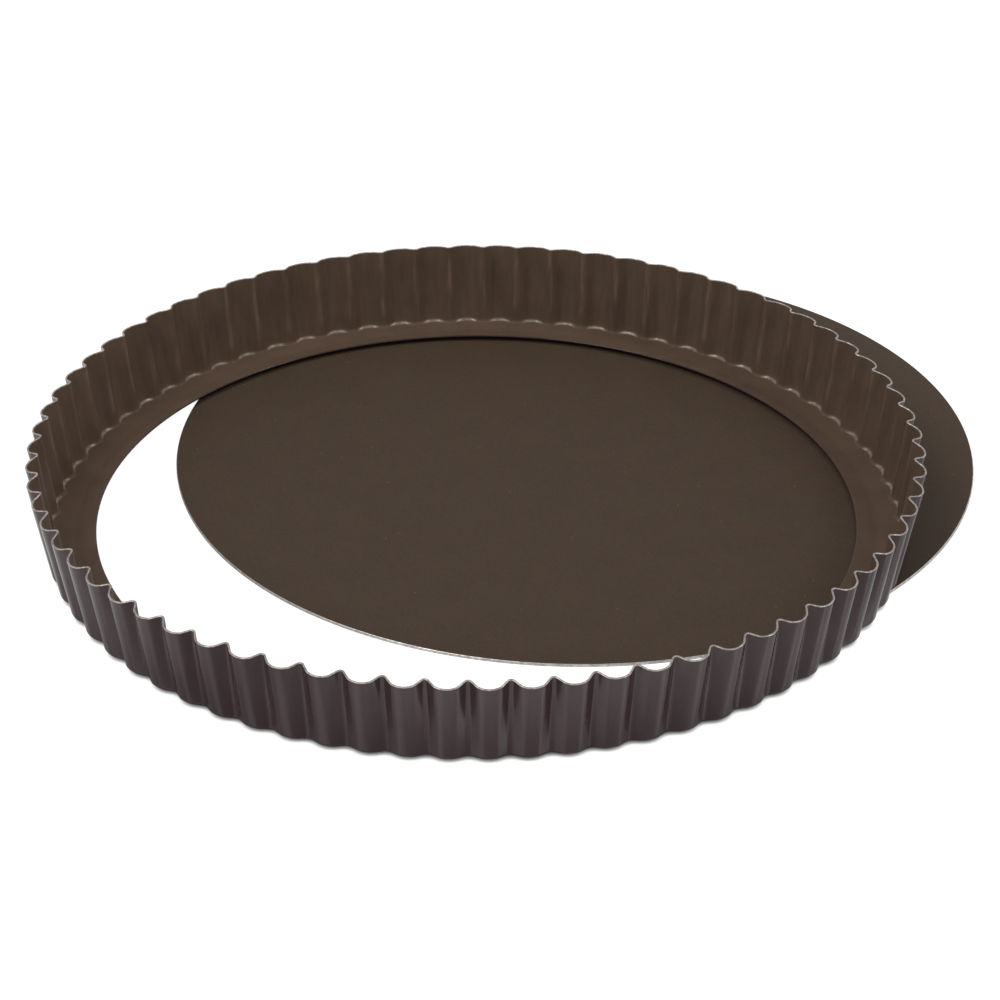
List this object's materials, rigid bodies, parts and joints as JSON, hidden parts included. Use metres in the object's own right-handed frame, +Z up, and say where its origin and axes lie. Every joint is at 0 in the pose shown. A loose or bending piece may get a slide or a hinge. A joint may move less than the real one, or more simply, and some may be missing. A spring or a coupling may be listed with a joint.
{
  "type": "fluted tart pan",
  "caption": "Round fluted tart pan in dark non-stick sheet steel: a flaring fluted ring with an inward ledge, lying on its loose flat base plate, which holds and lifts out a tart.",
  "frame": {"origin": "centre of the loose base's underside, on the table", "axes": "+Z up, square to the base plate; the pictured front is -Y, and the ring's centre lies towards -X and -Y"},
  "size_m": [0.3025, 0.315, 0.0291],
  "materials": {
    "ring_coating": "satin dark brown non-stick coating on pressed steel sheet, worn to a greyish line along the cut rim",
    "base_coating": "matt dark brown non-stick coating with a fine light speckle on flat steel plate"
  },
  "bodies": {
    "base": {"loose_base": "base_coating"},
    "ring": {"fluted_ring": "ring_coating"}
  },
  "joints": [
    {"name": "ring_lift", "type": "slide", "parent": "base", "child": "ring", "axis": [0, 0, 1], "range_m": [0, 0.06]}
  ]
}
